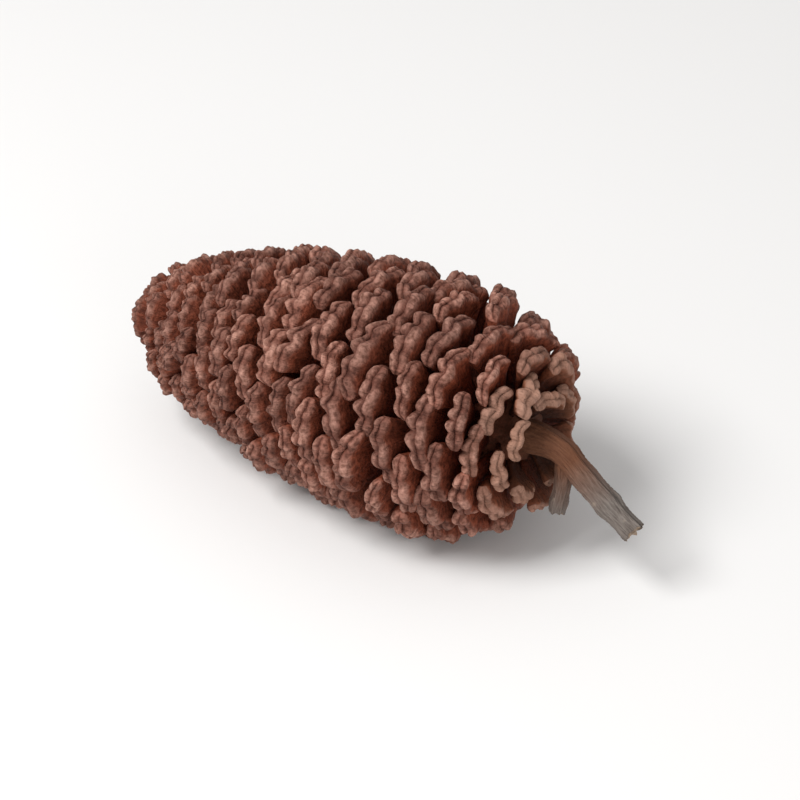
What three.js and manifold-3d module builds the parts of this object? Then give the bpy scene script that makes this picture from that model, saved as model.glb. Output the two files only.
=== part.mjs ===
// Alder cone: a ripe, dry, open cone that lies on its side, with the stub of its stalk.
// Millimetres, +Z up. The cone lies along X, with its tip towards -X and its stalk towards +X.
// The origin is under the middle of the whole, on the surface that the cone lies on.
// The woody scales follow one spiral at the golden angle, and each is a fan with a thick lip.

import * as THREE from "three";
import { mergeVertices } from "three/addons/utils/BufferGeometryUtils.js";
import Module from "manifold-3d";

// Driving dimensions of the woody body
const CONE_LENGTH = 20;
const CONE_RADIUS = 5.35;
const WIDEST_AT = 0.3; // share of the length from the base
const BASE_CUT = 0.012; // share of the length by which the round base is cut short
const BASE_ROUND = 2.6; // the higher, the blunter the base
const TIP_ROUND = 1.6; // the lower, the more even the taper to the tip
const END_ROUND = 0.45;

// Driving dimensions of a scale in the middle of the body
const SCALE_COUNT = 250;
const GOLDEN_ANGLE = Math.PI * (3 - Math.sqrt(5));
const FIRST_ANGLE = 0.4;
const LIP_WIDTH = 2.4;
const LIP_THICKNESS = 0.78;
const LIP_DEPTH = 0.7; // from the lip's edge back to where the scale gets thinner
const LIP_BULGE = 0.2; // how far the middle of a lip stands out past its sides
const ROOT_SHARE = 0.35; // radius at which a scale starts, as a share of the body's
const SIZE_POWER = 0.4; // how strongly a scale shrinks with the girth and the crowding
const TIP_BUD = 0.5; // the smallest radius that a lip stands at, round the tip

// Each table goes by share of the length from the base
const CROWDING = [[0, 1], [0.05, 0.85], [0.15, 0.7], [0.3, 0.68], [0.55, 1], [0.85, 1.8], [1, 2.1]];
const OPENING = [[0, 142], [0.05, 112], [0.12, 95], [0.25, 82], [0.45, 72], [0.7, 60], [0.88, 42], [1, 10]];
const CORE_SHARE = [[0, 0.3], [0.1, 0.42], [0.3, 0.6], [1, 0.62]];

// The core ends in a hollow at the base, and short of the tip
const HOLLOW_DEPTH = 1.1;
const CORE_END = 0.96; // share of the length
const CORE_STATIONS = 9;
const CORE_SIDES = 12;

// Fineness of the solids
const SHORTEST_EDGE = 0.006; // shorter edges are closed up where the shape allows it
const GRID_STEP = 0.001; // every point lies on a grid this fine

// How much the scales differ from each other
const SEED = 20;
const REACH_SPREAD = 0.12;
const SIZE_SPREAD = 0.07;
const ANGLE_SPREAD = 3; // degrees

// How the cone lies
const TIP_DOWN = 4.7; // degrees
const FLAT_TRIM = 0.45; // how far the lowest lips are pressed flat
const GROUND_SIZE = 80;

// Driving dimensions of the stalk, from the middle of the cone's base: along X, along Y, up
const STALK_RADIUS = 0.5;
const STALK_GAP = 0.25; // between the stalk and the core that it grows from
const STALK_BENDS = [[0.5, 0, -0.12], [1.7, -0.1, -0.85], [3, -0.15, -1.75]];
const STALK_END = [4.2, -0.2, -2.5];
const TWIG_RADIUS = 0.36;
const TWIG_START = [0.95, -0.03, -0.5];
const TWIG_END = [0.8, -0.4, -2.8];
const STALK_SIDES = 8;
const STALK_STEPS = 12;
const TWIG_STEPS = 3;

const rad = THREE.MathUtils.degToRad;
const { clamp, lerp } = THREE.MathUtils;
const wasm = await Module();
wasm.setup();

// A seeded source of even random numbers from 0 to 1
function seededRandom(seed) {
  let state = seed;
  return () => {
    state = (state + 0x6d2b79f5) | 0;
    let mixed = Math.imul(state ^ (state >>> 15), 1 | state);
    mixed = (mixed + Math.imul(mixed ^ (mixed >>> 7), 61 | mixed)) ^ mixed;
    return ((mixed ^ (mixed >>> 14)) >>> 0) / 4294967296;
  };
}

// The value at a share of the length, on a line drawn through the points of a table
function tableValue(table, share) {
  const next = Math.max(table.findIndex(([at]) => at >= share), 1);
  const [startAt, start] = table[next - 1];
  const [endAt, end] = table[next];
  return lerp(start, end, (share - startAt) / (endAt - startAt));
}

// Radius of the body over its lips, at a share of its length from the base
function bodyRadius(share) {
  const toBase = Math.max(WIDEST_AT - share, 0) / (WIDEST_AT + BASE_CUT);
  const toTip = Math.max(share - WIDEST_AT, 0) / (1 - WIDEST_AT);
  const fall = toBase ** BASE_ROUND + toTip ** TIP_ROUND;
  return CONE_RADIUS * Math.max(1 - fall, 0) ** END_ROUND;
}

// Where each lip sits along the body, with more scales on the same surface where they crowd
function scaleShares() {
  const slices = 2000;
  const room = [0];
  for (let i = 1; i <= slices; i++) {
    const share = (i - 0.5) / slices;
    const growth = bodyRadius(i / slices) - bodyRadius((i - 1) / slices);
    const slant = Math.hypot(CONE_LENGTH / slices, growth);
    room.push(room[i - 1] + bodyRadius(share) * slant * tableValue(CROWDING, share));
  }
  const shares = [];
  let slice = 0;
  for (let i = 0; i < SCALE_COUNT; i++) {
    const wanted = (room[slices] * (i + 0.5)) / SCALE_COUNT;
    while (room[slice + 1] < wanted) slice++;
    const part = (wanted - room[slice]) / (room[slice + 1] - room[slice]);
    shares.push((slice + part) / slices);
  }
  return shares;
}

// A closed geometry as a solid that can be joined and cut
function solid(geometry) {
  const bare = geometry.clone();
  bare.deleteAttribute("normal");
  bare.deleteAttribute("uv");
  const merged = mergeVertices(bare, 1e-4);
  const vertProperties = merged.attributes.position.array;
  const triVerts = new Uint32Array(merged.index.array);
  return new wasm.Manifold(new wasm.Mesh({ numProp: 3, vertProperties, triVerts }));
}

// A length rounded to the grid that the points lie on
const onGrid = (length) => Math.round(length / GRID_STEP) * GRID_STEP;

// A solid's outer skin as a geometry on the grid. Small hollows that its parts close off are
// filled, the shortest edges are closed up, and triangles that have lost a side are left out.
function geometryOf(made) {
  const [body] = made.decompose().sort((a, b) => b.volume() - a.volume());
  const { vertProperties, triVerts } = body.simplify(SHORTEST_EDGE).getMesh();
  const skin = new THREE.BufferGeometry();
  skin.setAttribute("position", new THREE.BufferAttribute(vertProperties.map(onGrid), 3));
  skin.setIndex(new THREE.BufferAttribute(triVerts, 1));
  const geometry = mergeVertices(skin, GRID_STEP / 10);
  const corners = Array.from(geometry.index.array);
  const kept = [];
  for (let i = 0; i < corners.length; i += 3) {
    const triangle = corners.slice(i, i + 3);
    if (new Set(triangle).size === 3) kept.push(...triangle);
  }
  geometry.setIndex(kept);
  return geometry;
}

// One woody scale: a fan from a point in the core to a thick lip, which bulges in its middle.
// It is made in the body's own frame, with the base's middle at 0 and the tip along +Z.
function woodyScale(angle, share, random) {
  const spread = (size) => (random() + random() - 1) * size;
  const radius = bodyRadius(share);
  const girth = clamp(radius / CONE_RADIUS, 0.3, 1);
  const size = (1 + spread(SIZE_SPREAD)) * (girth / tableValue(CROWDING, share)) ** SIZE_POWER;
  const halfWidth = (LIP_WIDTH / 2) * size;
  const halfThickness = (LIP_THICKNESS / 2) * size ** 0.6;
  const open = rad(tableValue(OPENING, share) + spread(ANGLE_SPREAD));
  const outward = new THREE.Vector2(Math.sin(open), Math.cos(open));
  const upward = new THREE.Vector2(-outward.y, outward.x);
  const reach = Math.max(radius, TIP_BUD) + spread(REACH_SPREAD);
  const edge = new THREE.Vector2(reach, share * CONE_LENGTH);
  const rootRadius = radius * ROOT_SHARE;
  const rise = clamp((edge.x - rootRadius) / Math.tan(open), -1.7, 2.6);

  // A point round the body at a place in the plane of its radius and its length
  const place = (r, height, turn) => [r * Math.cos(turn), r * Math.sin(turn), height];
  const root = place(rootRadius, edge.y - rise, angle);
  // A point of the lip: across it, back from its edge, and over or under its middle
  const lipPoint = (across, back, over) => {
    const side = Math.abs(across);
    const inward = back + LIP_BULGE * side * size;
    const height = over * halfThickness * (1 - 0.15 * side) - 0.08 * side;
    const r = edge.x - outward.x * inward + upward.x * height;
    const z = edge.y - outward.y * inward + upward.y * height;
    return place(Math.max(r, 0.1), z, angle + (across * halfWidth) / Math.max(edge.x, 0.8));
  };
  const depth = LIP_DEPTH * size;
  const lipSide = (across) => [
    lipPoint(across * 0.88, depth, 0.9),
    lipPoint(across, 0.05, 0.8),
    lipPoint(across * 0.97, 0, -0.75),
    lipPoint(across * 0.84, depth, -0.85),
  ];
  const lipMiddle = [lipPoint(0, 0.05, 0.8), lipPoint(0, 0, -0.75)];

  const geometry = new THREE.BufferGeometry();
  const points = [root, ...lipSide(-1), ...lipMiddle, ...lipSide(1)];
  geometry.setAttribute("position", new THREE.Float32BufferAttribute(points.flat(), 3));
  // Points by number: the root 0, one side 1 to 4, the middle 5 and 6, the other side 7 to 10
  geometry.setIndex([
    ...[0, 1, 7, 1, 2, 5, 1, 5, 7, 5, 8, 7], // over the blade and the lip
    ...[2, 3, 6, 2, 6, 5, 5, 6, 9, 5, 9, 8], // the lip's edge
    ...[3, 4, 6, 6, 4, 10, 6, 10, 9, 0, 10, 4], // under the lip and the blade
    ...[1, 4, 3, 1, 3, 2, 0, 4, 1], // one side
    ...[7, 8, 9, 7, 9, 10, 0, 7, 10], // the other side
  ]);
  return geometry;
}

// The woody core that carries the scales, in the same frame
function coreBody() {
  const profile = [new THREE.Vector2(0, HOLLOW_DEPTH)];
  for (let i = 0; i < CORE_STATIONS; i++) {
    const height = lerp(HOLLOW_DEPTH, CONE_LENGTH * CORE_END, i / (CORE_STATIONS - 1));
    const share = height / CONE_LENGTH;
    profile.push(new THREE.Vector2(tableValue(CORE_SHARE, share) * bodyRadius(share), height));
  }
  profile.push(new THREE.Vector2(0, CONE_LENGTH * CORE_END + 0.4));
  return new THREE.LatheGeometry(profile, CORE_SIDES).rotateX(Math.PI / 2);
}

// The woody body in its own frame: the core and all its scales in one solid
function woodyBody() {
  const random = seededRandom(SEED);
  let body = solid(coreBody());
  scaleShares().forEach((share, i) => {
    body = body.add(solid(woodyScale(FIRST_ANGLE + i * GOLDEN_ANGLE, share, random)));
  });
  return geometryOf(body);
}

// The body laid on its side on the surface, with its lowest lips pressed flat.
// It is returned with the height of its base's middle.
function lyingBody() {
  const geometry = woodyBody().rotateY(rad(-90 - TIP_DOWN));
  geometry.computeBoundingBox();
  const height = -geometry.boundingBox.min.z - FLAT_TRIM;
  geometry.translate(0, 0, height);
  const ground = new THREE.BoxGeometry(GROUND_SIZE, GROUND_SIZE, GROUND_SIZE);
  ground.translate(0, 0, -GROUND_SIZE / 2);
  return { geometry: geometryOf(solid(geometry).subtract(solid(ground))), height };
}

// A round stick along a curve through some points
function stick(points, radius, steps) {
  const section = new THREE.Shape();
  section.absarc(0, 0, radius, 0, 2 * Math.PI);
  const extrudePath = new THREE.CatmullRomCurve3(points);
  const options = { steps, extrudePath, curveSegments: STALK_SIDES / 2, bevelEnabled: false };
  return new THREE.ExtrudeGeometry(section, options);
}

// The stalk: it leaves the hollow in the base, slants down to its end, and a short twig hangs from it
function stalkBody(height) {
  const fromBase = ([x, y, z]) => new THREE.Vector3(x, y, z + height);
  const inside = HOLLOW_DEPTH - STALK_GAP;
  const slope = rad(TIP_DOWN);
  const start = new THREE.Vector3(-inside * Math.cos(slope), 0, height - inside * Math.sin(slope));
  const main = stick([start, ...STALK_BENDS.map(fromBase), fromBase(STALK_END)], STALK_RADIUS, STALK_STEPS);
  const twig = stick([fromBase(TWIG_START), fromBase(TWIG_END)], TWIG_RADIUS, TWIG_STEPS);
  return geometryOf(solid(main).add(solid(twig)));
}

// A named mesh with a wooden finish
function woodenMesh(name, geometry, colour) {
  const material = new THREE.MeshStandardMaterial({ color: colour, roughness: 0.85, metalness: 0 });
  const mesh = new THREE.Mesh(geometry, material);
  mesh.name = name;
  return mesh;
}

const lying = lyingBody();
const alderCone = new THREE.Group();
alderCone.add(woodenMesh("cone", lying.geometry, 0x6e4539));
alderCone.add(woodenMesh("stalk", stalkBody(lying.height), 0x8a7a70));
const middle = new THREE.Box3().setFromObject(alderCone).getCenter(new THREE.Vector3());
alderCone.position.set(onGrid(-middle.x), onGrid(-middle.y), 0);

export default alderCone;
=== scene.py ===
import math
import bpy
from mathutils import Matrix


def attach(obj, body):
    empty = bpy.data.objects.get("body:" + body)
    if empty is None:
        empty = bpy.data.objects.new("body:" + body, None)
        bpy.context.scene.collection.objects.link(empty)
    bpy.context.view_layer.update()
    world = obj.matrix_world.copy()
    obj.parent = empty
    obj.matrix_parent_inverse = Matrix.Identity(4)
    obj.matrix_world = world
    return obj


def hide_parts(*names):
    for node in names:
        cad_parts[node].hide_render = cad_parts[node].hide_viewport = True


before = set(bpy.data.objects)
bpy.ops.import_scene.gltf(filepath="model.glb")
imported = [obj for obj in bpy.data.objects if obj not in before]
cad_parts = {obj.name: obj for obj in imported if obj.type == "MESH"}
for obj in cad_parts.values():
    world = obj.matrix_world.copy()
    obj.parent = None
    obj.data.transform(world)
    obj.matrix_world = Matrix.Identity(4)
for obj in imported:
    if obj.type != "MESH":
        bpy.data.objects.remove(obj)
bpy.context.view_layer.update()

from types import SimpleNamespace

import bpy
import numpy as np
from mathutils import Vector

# The woody scales
# Small fans of hard red-brown wood, grown on a thin core in one spiral at the golden angle. Each
# widens from a narrow root to a thick lip that has dried into rounded lobes: four along the top
# and, below a fine groove, a broad one with two shoulders.
MM = 0.001  # sizes are in millimetres until a piece's mesh is made
BASE_MIDDLE = np.array([7.719, 0.006, 5.477])  # where the cone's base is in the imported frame
TIP_DOWN = math.radians(4.7)  # how far the cone's tip points below the level
CONE_LENGTH = 20.0
CONE_RADIUS = 5.35
WIDEST_AT = 0.3  # share of the length from the base
BASE_CUT = 0.012  # share of the length by which the round base is cut short
BASE_ROUND = 2.6  # the higher, the blunter the base
TIP_ROUND = 1.6  # the lower, the more even the taper to the tip
END_ROUND = 0.45

# Along the spiral
SCALE_COUNT = 250
GOLDEN_ANGLE = math.pi * (3 - math.sqrt(5))
FIRST_ANGLE = 0.4  # radians

# At shares of the length: how closely the scales crowd, and by how many degrees their lips open
# from the direction of the tip
CROWDING = np.array([[0, 1], [0.05, 0.85], [0.15, 0.7], [0.3, 0.68], [0.55, 1], [0.85, 1.8], [1, 2.1]])
OPENING = np.array([
    [0, 142], [0.05, 112], [0.12, 95], [0.25, 82],
    [0.45, 72], [0.7, 60], [0.88, 42], [1, 10],
])

# One scale
LIP_WIDTH = 2.75
LIP_THICKNESS = 0.82
LIP_INSET = 0.2  # how far inside the body's outline a scale's middle line ends
TIP_BUD = 0.5  # the smallest radius that it ends at, round the tip
ROOT_SHARE = 0.3  # radius at which a scale starts, as a share of the body's
LEAST_ROOT = 0.12
ROOT_LEAN = 0.15  # by how much less than its lip the whole scale opens, in radians
LEAST_LEAN = 0.05
RISE_LIMITS = -1.9, 3.4  # how far a lip can stand from its root along the axis
SIZE_POWER = 0.4  # how strongly a scale shrinks with the girth and the crowding
LEAST_GIRTH = 0.3
THICKNESS_POWER = 0.6  # how strongly its thickness follows its size

# How widely the scales differ from one another
TURN_SPREAD = 0.025  # radians
SIZE_SPREAD = 0.09
OPENING_SPREAD = 6  # degrees
REACH_SPREAD = 0.09
HEIGHT_SPREAD = 0.11
THICKNESS_SPREAD = 0.09
SKEW_SPREAD = 0.12
SCALE_SEED = 11


def body_radius(share):
    """Radius over the lips at a share of the length: two superellipses that meet at the widest place.

    The way from there to the nearer end is raised to BASE_ROUND or TIP_ROUND and taken from one.
    What is left, raised to END_ROUND, is multiplied by the full radius.
    """
    to_base = np.clip(WIDEST_AT - share, 0, None) / (WIDEST_AT + BASE_CUT)
    to_tip = np.clip(share - WIDEST_AT, 0, None) / (1 - WIDEST_AT)
    return CONE_RADIUS * np.clip(1 - to_base**BASE_ROUND - to_tip**TIP_ROUND, 0, None) ** END_ROUND


def scale_shares(steps=4001):
    """Where each lip sits: equal steps of the running sum of radius times slant times crowding."""
    share = np.linspace(0, 1, steps)
    middle = (share[1:] + share[:-1]) / 2
    slant = np.hypot(np.diff(share) * CONE_LENGTH, np.diff(body_radius(share)))
    room = np.cumsum(body_radius(middle) * slant * np.interp(middle, *CROWDING.T))
    wanted = (np.arange(SCALE_COUNT) + 0.5) / SCALE_COUNT * room[-1]
    return np.interp(wanted, room, share[1:])


def lay_down(radius, height, turn):
    """Places round the cone's own axis, turned into the frame and kept from going below the floor.

    The axis runs from the base's middle towards -X and down by TIP_DOWN, and a turn of 0 is upwards.
    """
    up, side = radius * np.cos(turn), radius * np.sin(turn)
    x = BASE_MIDDLE[0] - height * math.cos(TIP_DOWN) - up * math.sin(TIP_DOWN)
    z = BASE_MIDDLE[2] - height * math.sin(TIP_DOWN) + up * math.cos(TIP_DOWN)
    return np.stack([x, BASE_MIDDLE[1] + side, np.maximum(z, 0.0)], -1)


def plan_scales():
    """What sets each scale apart, as columns over the scales: the cone's rule, and a seeded spread.

    A scale's size is its girth over its crowding, to SIZE_POWER. Its middle line ends at the body's
    radius, and rises from its root by their distance apart over the tangent of its lean, in limits.
    """
    rng = np.random.default_rng(SCALE_SEED)

    def spread(size):
        return rng.normal(0, size, SCALE_COUNT)

    share = scale_shares()
    body = body_radius(share)
    girth = np.clip(body / CONE_RADIUS, LEAST_GIRTH, 1)
    turn = FIRST_ANGLE + np.arange(SCALE_COUNT) * GOLDEN_ANGLE + spread(TURN_SPREAD)
    size = (1 + spread(SIZE_SPREAD)) * (girth / np.interp(share, *CROWDING.T)) ** SIZE_POWER
    angle = np.radians(np.interp(share, *OPENING.T) + spread(OPENING_SPREAD))
    reach = np.maximum(body - LIP_INSET, TIP_BUD) + spread(REACH_SPREAD)
    height = share * CONE_LENGTH + spread(HEIGHT_SPREAD)
    thickness = LIP_THICKNESS * size**THICKNESS_POWER * (1 + spread(THICKNESS_SPREAD))
    root = np.clip(ROOT_SHARE * body, LEAST_ROOT, None)
    lean = np.maximum(angle - ROOT_LEAN, LEAST_LEAN)
    rise = np.clip((reach - root) / np.tan(lean), *RISE_LIMITS)
    phase = rng.uniform(-1, 1, (7, SCALE_COUNT))
    skew = spread(SKEW_SPREAD)
    tint = rng.uniform(0, 1, SCALE_COUNT)
    columns = {
        "share": share, "turn": turn, "half_width": LIP_WIDTH / 2 * size, "angle": angle,
        "reach": reach, "height": height, "thickness": thickness, "root": root, "rise": rise,
        "phase": phase, "skew": skew, "tint": tint,
    }
    return SimpleNamespace(**{name: value[..., None, None] for name, value in columns.items()})


def middle_lines(scale, along):
    """Each scale's middle line, a quadratic curve from its root that meets its lip at its opening.

    Gives the curve's radius and height from the cone's axis and base, and its unit direction.
    """
    start = scale.height - scale.rise
    chord = np.hypot(scale.reach - scale.root, scale.rise)
    bend_radius = scale.reach - np.sin(scale.angle) * chord * 0.5
    bend_height = scale.height - np.cos(scale.angle) * chord * 0.5
    back = 1 - along
    radius = back**2 * scale.root + 2 * back * along * bend_radius + along**2 * scale.reach
    height = back**2 * start + 2 * back * along * bend_height + along**2 * scale.height
    run_radius = back * (bend_radius - scale.root) + along * (scale.reach - bend_radius)
    run_height = back * (bend_height - start) + along * (scale.height - bend_height)
    run = np.hypot(run_radius, run_height)
    return radius, height, run_radius / run, run_height / run


# The grid of one scale: steps across it, along its top or its underside, and round its lip
ACROSS_STEPS = 21
TOP_STEPS = np.array([0.0, 0.4, 0.68, 0.84, 0.94])
LIP_ANGLES = np.radians([64, 40, 18, 0, -9, -18, -38, -64])

# The lobes, at places across a lip from -1 to 1
LOBE_SHIFTS = 0.08, 0.05
LOBE_POWER = 0.6  # the lower, the broader the upper lobes and the sharper their notches
LOBE_UNEVEN = 0.25  # how much taller they can be on one side
LOWER_LOBE = 0.36  # half the broad lobe's width
SHOULDER_AT, SHOULDER_WIDTH, SHOULDER_HEIGHT = 0.7, 0.2, 0.6
GROOVE_AT, GROOVE_WIDTH = -0.14, 0.17  # on the lip's round, in radians

# The forms of one scale, as shares of its half width, from the root to the lip
ROOT_WIDTH = 0.2
CUP_DEPTH, CUP_SPREAD = 0.1, 0.07  # how far its sides bend towards the cone's base
CORNER_DROP = 0.2  # how far the fan's corners fall back
RAGGED = 0.035, 0.03  # two waves along the fan's edge

# The same, as shares of its lip's thickness
BLADE_THIN = 0.34
SIDE_THIN = 0.42
WAVE_DEPTH = 0.06
NOTCH_DEPTH = 0.2  # between the lobes, above and below
GROOVE_DEPTH = 0.2
LIP_SETBACK = 0.2  # how far before the middle line's end the lip's round starts
NOSE_OUT, LOBE_OUT = 0.2, 0.25  # how far the round bulges, and how much further the lobes do

# The base's colours include the painted shade in its hollow, which fades out over this zone too
BASE_ZONE = 0.06  # share of the cone's length over which the base's own colours fade out


def section_steps():
    """The steps round a scale's section: along its top, round its lip and back along its underside.

    Each has its way along the scale, its side of the middle line (1 towards the cone's tip, -1
    towards its base), how far out on the lip's nose it is, and its angle on the lip. Round the lip,
    side is that angle's sine and nose a power of its cosine.
    """
    flat = len(TOP_STEPS)
    along = np.concatenate([TOP_STEPS, np.ones(len(LIP_ANGLES)), TOP_STEPS[::-1]])
    side = np.concatenate([np.ones(flat), np.sin(LIP_ANGLES), -np.ones(flat)])
    nose = np.concatenate([np.zeros(flat), np.cos(LIP_ANGLES) ** 0.8, np.zeros(flat)])
    angle = np.concatenate([np.full(flat, 1.5), LIP_ANGLES, np.full(flat, -1.5)])
    return along, side, nose, angle


def lobe_waves(across, phase):
    """How high the lobes stand across a lip: four half sine waves above, and three bells below.

    Both are read at places that each scale's own phases have shifted a little.
    """
    once, twice = np.sin(math.pi * across), np.sin(2 * math.pi * across)
    place = across + LOBE_SHIFTS[0] * phase[0] * once + LOBE_SHIFTS[1] * phase[1] * twice
    top = np.abs(np.sin(2 * math.pi * place)) ** LOBE_POWER * (1 + LOBE_UNEVEN * phase[2] * once)
    shoulders = SHOULDER_HEIGHT * np.exp(-(((np.abs(place) - SHOULDER_AT) / SHOULDER_WIDTH) ** 2))
    return top, np.exp(-((place / LOWER_LOBE) ** 4)) + shoulders


def scale_surfaces():
    """Every scale's skin, on a grid of steps across it and steps round its section, and its marks.

    Round the middle line lies a thin blade that thickens into a half-round lip. Its width follows a
    power of the way along. Lobes, a groove, a cup and waves then move its points over or out.
    """
    scale = plan_scales()
    phase, half, thick = scale.phase, scale.half_width, scale.thickness
    across = np.linspace(-1, 1, ACROSS_STEPS)[:, None]
    along, side, nose, angle = section_steps()
    top_lobes, low_lobes = lobe_waves(across, phase)
    upper = np.clip(angle * 1.8 + 0.2, 0, 1)
    lobe = upper * top_lobes + (1 - upper) * low_lobes
    groove = np.exp(-(((angle - GROOVE_AT) / GROOVE_WIDTH) ** 2))
    rounded = np.clip(1 - np.abs(across) ** 3.4, 0, 1)

    # How far over the middle line each point lies
    swell = np.clip((along - 0.5) / 0.45, 0, 1) ** 1.3
    thinning = (BLADE_THIN + (1 - BLADE_THIN) * swell) * (SIDE_THIN + (1 - SIDE_THIN) * rounded**0.5)
    over = 0.5 * thick * thinning * side
    notch = np.where(side > 0, 1 - top_lobes, 1 - np.clip(low_lobes, 0, 1)) * rounded
    over = over - np.sign(side) * NOTCH_DEPTH * thick * np.clip((along - 0.4) / 0.55, 0, 1) * notch
    over = over - (CUP_DEPTH + CUP_SPREAD * phase[3]) * half * (across**2 - 0.3) * along**2
    over = over + WAVE_DEPTH * thick * np.sin(2.1 * math.pi * across + 3 * phase[4]) * along**2

    # How far out it lies, past its place on that line
    ragged = RAGGED[0] * np.sin(3 * math.pi * across + 3 * phase[5])
    ragged = ragged + RAGGED[1] * np.sin(5 * math.pi * across + 3 * phase[6])
    out = nose * thick * (NOSE_OUT + LOBE_OUT * lobe) - GROOVE_DEPTH * thick * groove * nose * rounded
    out = out - (CORNER_DROP * np.abs(across) ** 2.6 + ragged) * half * along**3
    out = out - LIP_SETBACK * thick * (along == 1)

    radius, height, run_radius, run_height = middle_lines(scale, along)
    beside = half * (ROOT_WIDTH + (1 - ROOT_WIDTH) * along**1.2) * across
    turn = scale.turn + beside / np.clip(radius + 0.25, 0.45, None)
    radius = np.clip(radius + run_radius * out - run_height * over, 0.02, None)
    height = height + run_height * out + run_radius * over + scale.skew * beside * along
    points = lay_down(radius, height, turn)

    # "lip" runs from 0 at the root to 1 on the nose, the lobes' tops are marked for wear and a painted
    # highlight, "crease" marks the notches and the groove for painted shade, and "base" the scales round
    # the base
    marks = {
        "lip": np.clip(along * (0.8 + 0.2 * np.clip(nose * 3, 0, 1)), 0, 1),
        "wear_and_highlight": np.clip(nose * 1.6, 0, 1) * np.clip(lobe, 0, 1) * (1 - groove),
        "crease": np.clip(nose * 2.5, 0, 1) * np.clip(groove + 1.1 * (1 - lobe) * rounded, 0, 1),
        "across": across,
        "tint": scale.tint,
        "base": np.clip(1.2 - scale.share / BASE_ZONE, 0, 1),
    }
    return points, {name: np.broadcast_to(value, points.shape[:3]) for name, value in marks.items()}


def shell_faces(count, rows, ring):
    """Quads of many closed skins: rings joined row to row, and each end closed by pairing its ring.

    They face outwards where the next row lies on the left of a ring's steps, seen from outside.
    """
    row, step = np.meshgrid(np.arange(rows - 1) * ring, np.arange(ring), indexing="ij")
    after = (step + 1) % ring
    sides = np.stack([row + step, row + after, row + ring + after, row + ring + step], -1)
    low = np.arange(ring // 2 - 1)
    cap = np.stack([low, low + 1, ring - 2 - low, ring - 1 - low], -1)
    one = np.concatenate([sides.reshape(-1, 4), cap[:, ::-1], cap + (rows - 1) * ring])
    return (one[None] + (np.arange(count) * rows * ring)[:, None, None]).reshape(-1, 4)


def make_piece(name, points, faces, marks):
    """A smooth mesh object in metres from points in millimetres, with its marks as attributes."""
    mesh = bpy.data.meshes.new(name)
    mesh.from_pydata(points.reshape(-1, 3) * MM, [], faces.tolist())
    for mark, values in marks.items():
        layer = mesh.attributes.new(mark, "FLOAT", "POINT")
        layer.data.foreach_set("value", np.ascontiguousarray(values, np.float32).reshape(-1))
    mesh.shade_smooth()
    piece = bpy.data.objects.new(name, mesh)
    bpy.context.scene.collection.objects.link(piece)
    return piece


scale_points, scale_marks = scale_surfaces()
scale_faces = shell_faces(*scale_points.shape[:3])
woody_scales = make_piece("woody_scales", scale_points, scale_faces, scale_marks)


class Finish:
    """A node material being wired up: its nodes by kind, its links, and its shader."""

    def __init__(self, name):
        self.material = bpy.data.materials.new(name)
        self.material.use_nodes = True
        self.tree = self.material.node_tree
        self.shader = self.tree.nodes["Principled BSDF"]

    def node(self, kind, inputs=None, **settings):
        made = self.tree.nodes.new("ShaderNode" + kind)
        for key, value in settings.items():
            setattr(made, key, value)
        for key, value in (inputs or {}).items():
            self.feed(made.inputs[key], value)
        return made

    def feed(self, socket, value):
        if isinstance(value, bpy.types.NodeSocket):
            self.tree.links.new(value, socket)
        else:
            socket.default_value = value

    def mark(self, name):
        return self.node("Attribute", attribute_name=name).outputs["Fac"]

    def maths(self, operation, *values):
        return self.node("Math", dict(enumerate(values)), operation=operation).outputs[0]

    def noise(self, vector, size, detail=4.0):
        made = self.node("TexNoise", {"Vector": vector, "Scale": size, "Detail": detail})
        return made.outputs["Fac"]

    def blend(self, factor, first, second, kind="MIX"):
        made = self.node("Mix", data_type="RGBA", blend_type=kind)
        self.feed(made.inputs["Factor"], factor)
        self.feed(made.inputs["A"], first)
        self.feed(made.inputs["B"], second)
        return made.outputs["Result"]

    def ramp(self, factor, stops):
        made = self.node("ValToRGB", {"Fac": factor})
        elements = made.color_ramp.elements
        while len(elements) < len(stops):
            elements.new(0.5)
        for element, (place, colour) in zip(elements, stops):
            element.position = place
            element.color = colour
        return made.outputs["Color"]

    def bump(self, height, depth, normal=None):
        made = self.node("Bump", {"Height": height, "Distance": depth, "Strength": 1.0})
        if normal is not None:
            self.feed(made.inputs["Normal"], normal)
        return made.outputs["Normal"]


# The wood's colours: stops along the marks "lip" and "tint" and along the grain, a painted shade for the
# creases, and pairs to blend in patches
# Dark at the scales' roots: partly the wood's own darker inside, partly painted shade in the gaps between
# the scales
LIP_BROWNS_AND_GAP_SHADE = [
    (0.45, (0.120, 0.0170, 0.0050, 1)),
    (0.70, (0.190, 0.0440, 0.0200, 1)),
    (0.88, (0.230, 0.0790, 0.0490, 1)),
    (1.00, (0.260, 0.1000, 0.0680, 1)),
]
# The base's hollow: a warmer brown, with painted shade darkest at the roots deep in it
HOLLOW_BROWNS_AND_SHADE = [
    (0.50, (0.040, 0.0120, 0.0040, 1)),
    (0.70, (0.120, 0.0400, 0.0130, 1)),
    (0.88, (0.250, 0.0900, 0.0290, 1)),
]
SCALE_TONES = [(0.0, (0.66, 0.64, 0.64, 1)), (1.0, (1.15, 1.15, 1.15, 1))]
GRAIN_SPECKS = [(0.34, (0.42, 0.34, 0.30, 1)), (0.50, (1, 1, 1, 1)), (0.68, (1.5, 1.55, 1.6, 1))]
# Painted shade in the notches and the groove
CREASE_SHADE = (0.070, 0.0150, 0.0070, 1)
# Paler lobe tops: partly wear, partly a painted highlight
WEAR_AND_HIGHLIGHT_PINKS = (0.280, 0.125, 0.090, 1), (0.420, 0.225, 0.170, 1)
RIM_TANS = (0.290, 0.140, 0.087, 1), (0.470, 0.275, 0.200, 1)
PATCHES_PER_METRE = 700
GRAINS_PER_METRE = 5200
FIBRE_DEPTH = 0.12 * MM
GRAIN_DEPTH = 0.11 * MM


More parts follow.
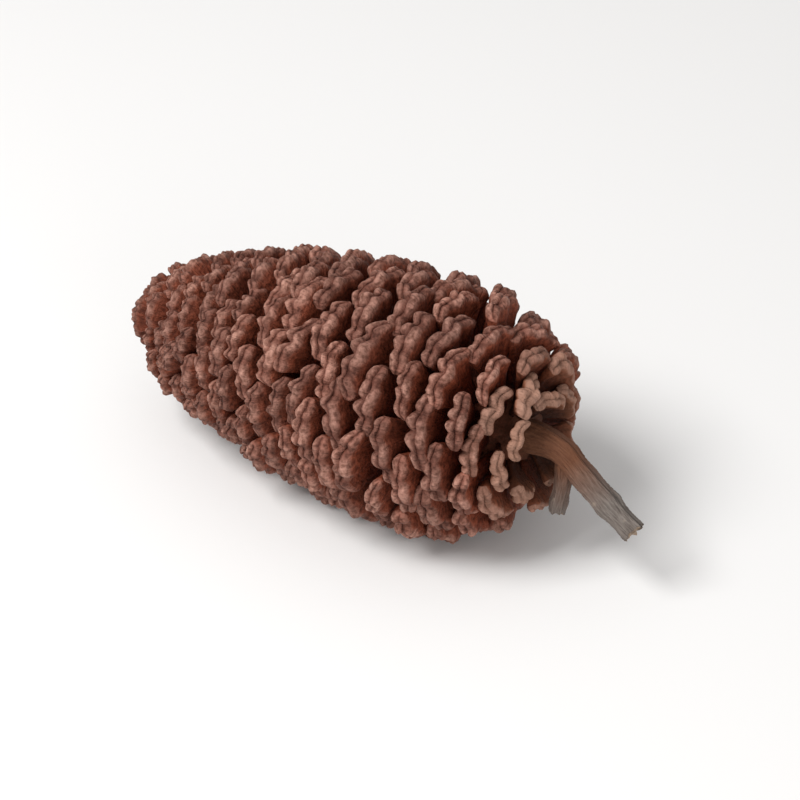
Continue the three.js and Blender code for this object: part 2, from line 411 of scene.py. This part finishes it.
def woody_finish():
    """Dry wood: dark red-brown in the gaps, partly its own darker inside and partly painted shade,
    browner towards the lips, and palest on the lobe tops, partly from wear and partly a painted
    highlight.

    Creases are darkened with painted shade, each scale has a tone of its own, and fine grain specks the
    whole. Round the base the lips have tan rims, and between them the hollow is a warmer brown, darkened
    towards its depth by painted shade.
    """
    wood = Finish("dry_cone_wood")
    place = wood.node("TexCoord").outputs["Object"]
    lip, base, tint = wood.mark("lip"), wood.mark("base"), wood.mark("tint")
    patches = wood.noise(place, PATCHES_PER_METRE)
    grain = wood.noise(place, GRAINS_PER_METRE, 5.0)

    # The lobe tops turn paler: partly wear, partly a painted highlight
    lobes = wood.maths("MULTIPLY", wood.mark("wear_and_highlight"), wood.maths("MULTIPLY_ADD", grain, 0.9, 0.5))
    colour = wood.blend(lobes, wood.ramp(lip, LIP_BROWNS_AND_GAP_SHADE), wood.blend(patches, *WEAR_AND_HIGHLIGHT_PINKS))
    # Painted shade darkens the creases
    shaded = wood.maths("MULTIPLY", wood.mark("crease"), 0.8)
    colour = wood.blend(shaded, colour, CREASE_SHADE)
    colour = wood.blend(0.8, colour, wood.ramp(tint, SCALE_TONES), "MULTIPLY")
    colour = wood.blend(0.8, colour, wood.ramp(grain, GRAIN_SPECKS), "MULTIPLY")

    # Round the base the hollow turns a warmer brown with painted shade towards its depth, and the lips
    # get tan rims
    edge = wood.maths("POWER", lip, 5.0)
    hollow = wood.maths("MULTIPLY", base, wood.maths("SUBTRACT", 0.85, edge))
    colour = wood.blend(hollow, colour, wood.ramp(lip, HOLLOW_BROWNS_AND_SHADE))
    rim = wood.maths("MULTIPLY", wood.maths("MULTIPLY", base, edge), 0.8)
    colour = wood.blend(rim, colour, wood.blend(patches, *RIM_TANS))
    wood.feed(wood.shader.inputs["Base Color"], colour)

    # Fibres run along each blade: noise that changes fast across it and from scale to scale
    fibre_place = wood.node("CombineXYZ", {
        "X": wood.maths("MULTIPLY", wood.mark("across"), 7.0),
        "Y": lip,
        "Z": wood.maths("MULTIPLY", tint, 90.0),
    })
    fibres = wood.noise(fibre_place.outputs["Vector"], 2.2, 3.0)
    normal = wood.bump(grain, GRAIN_DEPTH, wood.bump(fibres, FIBRE_DEPTH))
    wood.feed(wood.shader.inputs["Normal"], normal)
    roughness = wood.node("MapRange", {"Value": patches, "To Min": 0.58, "To Max": 0.8})
    wood.feed(wood.shader.inputs["Roughness"], roughness.outputs["Result"])
    wood.shader.inputs["Specular IOR Level"].default_value = 0.2
    return wood.material


cone_wood = woody_finish()
woody_scales.data.materials.append(cone_wood)
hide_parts("cone")
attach(woody_scales, "root")

# The core
# The woody axis inside the cone, which every scale grows from, so thin that it shows only at
# the bottom of the gaps and in the hollow at the base. Fine ridges slant along it.
CORE_SHARE = np.array([[0, 0.22], [0.1, 0.36], [0.25, 0.52], [0.6, 0.5], [1, 0.45]])
CORE_START, CORE_STOP = 0.9, 18.2
# The hollow's brown carries painted shade, which fades out with it
CORE_BASE_ZONE = (CORE_STOP - CORE_START) / 6  # over which the hollow's brown fades out
LEAST_CORE = 0.25
# At these marks the blades' colour is dark partly from painted shade in the gaps, and the core takes that
# on too
CORE_LIP, CORE_TINT = 0.55, 0.5  # its wood is as dark as the blades' at these marks


def core_surface(rows=60, ring=48):
    """A lathe of a share of the body's radius, waved by ridges that slant both ways, and its marks."""
    level = np.linspace(CORE_START, CORE_STOP, rows)[:, None]
    turn = np.linspace(0, 2 * math.pi, ring, endpoint=False)[None, :]
    share = level / CONE_LENGTH
    radius = np.clip(body_radius(share) * np.interp(share, *CORE_SHARE.T), LEAST_CORE, None)
    radius = radius * (1 + 0.05 * np.cos(13 * turn + 0.9 * level))
    radius = radius * (1 + 0.04 * np.sin(8 * turn - 2.1 * level))
    level, turn = np.broadcast_arrays(level, turn)
    marks = {
        "lip": np.full(level.shape, CORE_LIP),
        "tint": np.full(level.shape, CORE_TINT),
        "base": np.clip(1 - (level - CORE_START) / CORE_BASE_ZONE, 0, 1),
    }
    return lay_down(radius, level, turn), marks


core_points, core_marks = core_surface()
core_faces = shell_faces(1, *core_points.shape[:2])
core = make_piece("cone_core", core_points, core_faces, core_marks)
core.data.materials.append(cone_wood)
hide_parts("cone")
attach(core, "root")

# The stalk
# The stub of the fruit's stalk, a grey-brown woody twig. It leaves the hollow in the base and
# slants down to its broken end, and the stump of a side twig hangs from it.
STALK_RADIUS = 0.5
STALK_START = (-1.5, 0, -0.1)  # places are given from the middle of the cone's base
STALK_BENDS = [(0.5, 0, -0.12), (1.7, -0.1, -0.85), (3.0, -0.15, -1.75)]
STALK_END = (4.2, -0.2, -2.5)
STALK_KNOTS = [(0.9, 0.3, 0.9), (2.5, 0.12, 0.35), (5.0, 0.08, 0.25)]  # where, how thick, how long
TWIG_RADIUS = 0.36
TWIG_POINTS = [(0.95, -0.03, -0.5), (0.88, -0.2, -1.7), (0.8, -0.4, -2.8)]
TWIG_KNOTS = [(0.0, 0.2, 0.5), (1.9, 0.1, 0.2)]
TWIG_FORK = 2.6  # how far along the stalk it grows
TORN_DEPTH = 0.12  # how unevenly the ends are torn off
TORN_LENGTH = 0.5  # how far back from an end that reaches
TORN_RINGS = 0.86, 0.6, 0.3  # the broken face's rings, as shares of its radius
FLOOR_GAP = 0.01  # the least height of the skin over the floor


def smooth_path(points, steps):
    """A Catmull-Rom curve through the points, with its steps shared out evenly between its spans."""
    corner = np.array(points, float)
    corner = np.vstack([2 * corner[0] - corner[1], corner, 2 * corner[-1] - corner[-2]])
    place = np.linspace(0, len(points) - 1, steps)
    span = np.minimum(place.astype(int), len(points) - 2)
    part = (place - span)[:, None]
    p0, p1, p2, p3 = (corner[span + i] for i in range(4))
    return 0.5 * (2 * p1 + (p2 - p0) * part + (2 * p0 - 5 * p1 + 4 * p2 - p3) * part**2
                  + (3 * p1 - p0 - 3 * p2 + p3) * part**3)


def twig_surface(points, radius, knots, steps, ring, seed):
    """A tube along a curve, and its marks: cosine ridges run along it, and bells swell it at its knots.

    Its far end is shifted along it by uneven waves, and closed by rings that shrink to the middle
    of the broken face, where fibres stand at odd heights.
    """
    rng = np.random.default_rng(seed)
    path = smooth_path(points, steps) + BASE_MIDDLE
    run = np.gradient(path, axis=0)
    run /= np.linalg.norm(run, axis=1, keepdims=True)
    sideways = np.cross(run, [0.0, 1.0, 0.0])
    sideways /= np.linalg.norm(sideways, axis=1, keepdims=True)
    upward = np.cross(run, sideways)
    travel = np.concatenate([[0], np.cumsum(np.linalg.norm(np.diff(path, axis=0), axis=1))])[:, None]
    turn = np.linspace(0, 2 * math.pi, ring, endpoint=False)[None, :]

    girth = 1 + 0.05 * np.sin(1.7 * travel + 1) + 0.03 * np.sin(4.1 * travel)
    for place, size, length in knots:
        girth = girth + size * np.exp(-(((travel - place) / length) ** 2))
    ridges = 0.05 * np.cos(7 * turn + 0.5 * np.sin(travel)) + 0.035 * np.cos(11 * turn - 0.8 * travel)
    ridges = ridges + 0.012 * rng.normal(size=(steps, ring))
    tube = radius * girth * (1 + ridges)
    spoke = np.cos(turn)[..., None] * sideways[:, None] + np.sin(turn)[..., None] * upward[:, None]
    skin = path[:, None] + tube[..., None] * spoke

    torn = 0.5 * np.cos(3 * turn + 1) + 0.35 * np.cos(8 * turn) + 0.25 * rng.normal(size=(1, ring))
    near_end = np.clip((travel - travel[-1] + TORN_LENGTH) / TORN_LENGTH, 0, 1)
    skin = skin + (TORN_DEPTH * torn * near_end**2)[..., None] * run[:, None]
    shrink = np.array(TORN_RINGS)[:, None, None]
    heights = TORN_DEPTH * 0.5 * rng.normal(size=(len(TORN_RINGS), ring, 1)) * shrink
    face = path[-1] + (skin[-1] - path[-1]) * shrink + heights * run[-1]
    skin = np.concatenate([skin, face])
    skin[..., 2] = np.maximum(skin[..., 2], FLOOR_GAP)
    marks = {
        "travel": np.pad(travel, ((0, len(face)), (0, 0)), "edge"),
        "broken": (np.arange(len(skin)) >= steps)[:, None],
        "around": turn,
    }
    return skin, {name: np.broadcast_to(value, skin.shape[:2]) for name, value in marks.items()}


def join_skins(skins, marks):
    """Points, faces and marks of several closed tubes as one mesh."""
    points, faces, start = [], [], 0
    for skin in skins:
        points.append(skin.reshape(-1, 3))
        faces.append(shell_faces(1, *skin.shape[:2]) + start)
        start += skin.shape[0] * skin.shape[1]
    joined = {name: np.concatenate([m[name].reshape(-1) for m in marks]) for name in marks[0]}
    return np.concatenate(points), np.concatenate(faces), joined


stalk_path = [STALK_START, *STALK_BENDS, STALK_END]
stalk_skin, stalk_marks = twig_surface(stalk_path, STALK_RADIUS, STALK_KNOTS, steps=100, ring=40, seed=3)
twig_skin, twig_marks = twig_surface(TWIG_POINTS, TWIG_RADIUS, TWIG_KNOTS, steps=44, ring=32, seed=5)
twig_marks["travel"] = twig_marks["travel"] + TWIG_FORK
stalk = make_piece("fruit_stalk", *join_skins([stalk_skin, twig_skin], [stalk_marks, twig_marks]))

# The bark's colours: stops along its streaks, single ones, and pairs to blend
BARK_GREYS = [
    (0.30, (0.050, 0.033, 0.026, 1)),
    (0.50, (0.130, 0.102, 0.086, 1)),
    (0.72, (0.240, 0.205, 0.182, 1)),
]
MOTTLE_GREY = (0.270, 0.240, 0.215, 1)
PORE_TAN = (0.370, 0.310, 0.250, 1)
YOUNG_BROWNS = (0.060, 0.014, 0.004, 1), (0.220, 0.076, 0.026, 1)
TORN_TANS = (0.240, 0.155, 0.100, 1), (0.460, 0.350, 0.260, 1)
YOUNG_FADES = 2.8, 5.0  # between these places along the stalk its young brown turns grey
PORE_EDGE = 0.10, 0.19
MOTTLES_PER_METRE = 1300
PORES_PER_METRE = 1700
FINE_PER_METRE = 7000
STREAK_DEPTH = 0.12 * MM
FINE_DEPTH = 0.04 * MM


def bark_finish():
    """Thin grey-brown bark, streaked along the twig and mottled, with pale pores.

    Near the cone it is young and a warm brown, and pale torn wood shows at the broken ends.
    """
    bark = Finish("twig_bark")
    place = bark.node("TexCoord").outputs["Object"]
    travel, around = bark.mark("travel"), bark.mark("around")
    streak_place = bark.node("CombineXYZ", {
        "X": bark.maths("MULTIPLY", bark.maths("SINE", around), 3.0),
        "Y": bark.maths("MULTIPLY", bark.maths("COSINE", around), 3.0),
        "Z": bark.maths("MULTIPLY", travel, 0.7),
    })
    streaks = bark.noise(streak_place.outputs["Vector"], 2.4)
    mottle = bark.noise(place, MOTTLES_PER_METRE)
    fine = bark.noise(place, FINE_PER_METRE)

    colour = bark.ramp(streaks, BARK_GREYS)
    colour = bark.blend(bark.maths("MULTIPLY", mottle, 0.5), colour, MOTTLE_GREY)
    pores = bark.node("TexVoronoi", {"Vector": place, "Scale": PORES_PER_METRE}).outputs["Distance"]
    pore = bark.ramp(pores, [(PORE_EDGE[0], (1, 1, 1, 1)), (PORE_EDGE[1], (0, 0, 0, 1))])
    colour = bark.blend(bark.maths("MULTIPLY", pore, 0.5), colour, PORE_TAN)
    young = bark.node("MapRange", {
        "Value": travel,
        "From Min": YOUNG_FADES[0],
        "From Max": YOUNG_FADES[1],
        "To Min": 0.9,
        "To Max": 0.0,
    })
    colour = bark.blend(young.outputs["Result"], colour, bark.blend(streaks, *YOUNG_BROWNS))
    colour = bark.blend(bark.mark("broken"), colour, bark.blend(fine, *TORN_TANS))
    bark.feed(bark.shader.inputs["Base Color"], colour)
    bark.feed(bark.shader.inputs["Normal"], bark.bump(fine, FINE_DEPTH, bark.bump(streaks, STREAK_DEPTH)))
    bark.shader.inputs["Roughness"].default_value = 0.8
    bark.shader.inputs["Specular IOR Level"].default_value = 0.3
    return bark.material


stalk.data.materials.append(bark_finish())
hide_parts("stalk")
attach(stalk, "root")

# The floor, light and camera
# A plain pale floor under soft studio light from above and the left, with a weaker one from the
# right, seen by a long lens. Sizes and places here are in metres.
FLOOR_HALF = 2.0
SKY_STRENGTH = 0.5
TARGET = Vector((0.0007, 0.0, 0.0045))
CAMERA_TURN, CAMERA_RISE = math.radians(35), math.radians(36.5)
CAMERA_DISTANCE = 0.16
CAMERA_LENS = 180

corners = np.array([(-1, -1, 0), (1, -1, 0), (1, 1, 0), (-1, 1, 0)])
floor_mesh = bpy.data.meshes.new("floor")
floor_mesh.from_pydata(corners * FLOOR_HALF, [], [(0, 1, 2, 3)])
floor = bpy.data.objects.new("floor", floor_mesh)
bpy.context.scene.collection.objects.link(floor)
floor_finish = Finish("pale_floor")
floor_finish.shader.inputs["Base Color"].default_value = (0.82, 0.81, 0.80, 1)
floor_finish.shader.inputs["Roughness"].default_value = 0.9
floor_mesh.materials.append(floor_finish.material)

world = bpy.data.worlds.new("studio")
world.use_nodes = True
world.node_tree.nodes["Background"].inputs["Color"].default_value = (1, 1, 1, 1)
world.node_tree.nodes["Background"].inputs["Strength"].default_value = SKY_STRENGTH
bpy.context.scene.world = world
bpy.context.scene.view_settings.view_transform = "Standard"


def softbox(name, place, size, power):
    """A square area light at a place, turned to the cone."""
    lamp = bpy.data.lights.new(name, "AREA")
    lamp.size = size
    lamp.energy = power
    made = bpy.data.objects.new(name, lamp)
    bpy.context.scene.collection.objects.link(made)
    made.location = place
    made.rotation_euler = (TARGET - Vector(place)).to_track_quat("-Z", "Y").to_euler()


softbox("key", place=(-0.05, -0.09, 0.15), size=0.09, power=0.30)
softbox("fill", place=(0.16, -0.10, 0.06), size=0.12, power=0.08)

towards = Vector((
    math.sin(CAMERA_TURN) * math.cos(CAMERA_RISE),
    -math.cos(CAMERA_TURN) * math.cos(CAMERA_RISE),
    math.sin(CAMERA_RISE),
))
lens = bpy.data.cameras.new("camera")
lens.lens = CAMERA_LENS
lens.clip_start = 0.005
camera = bpy.data.objects.new("camera", lens)
bpy.context.scene.collection.objects.link(camera)
camera.location = TARGET + towards * CAMERA_DISTANCE
camera.rotation_euler = (-towards).to_track_quat("-Z", "Y").to_euler()
bpy.context.scene.camera = camera
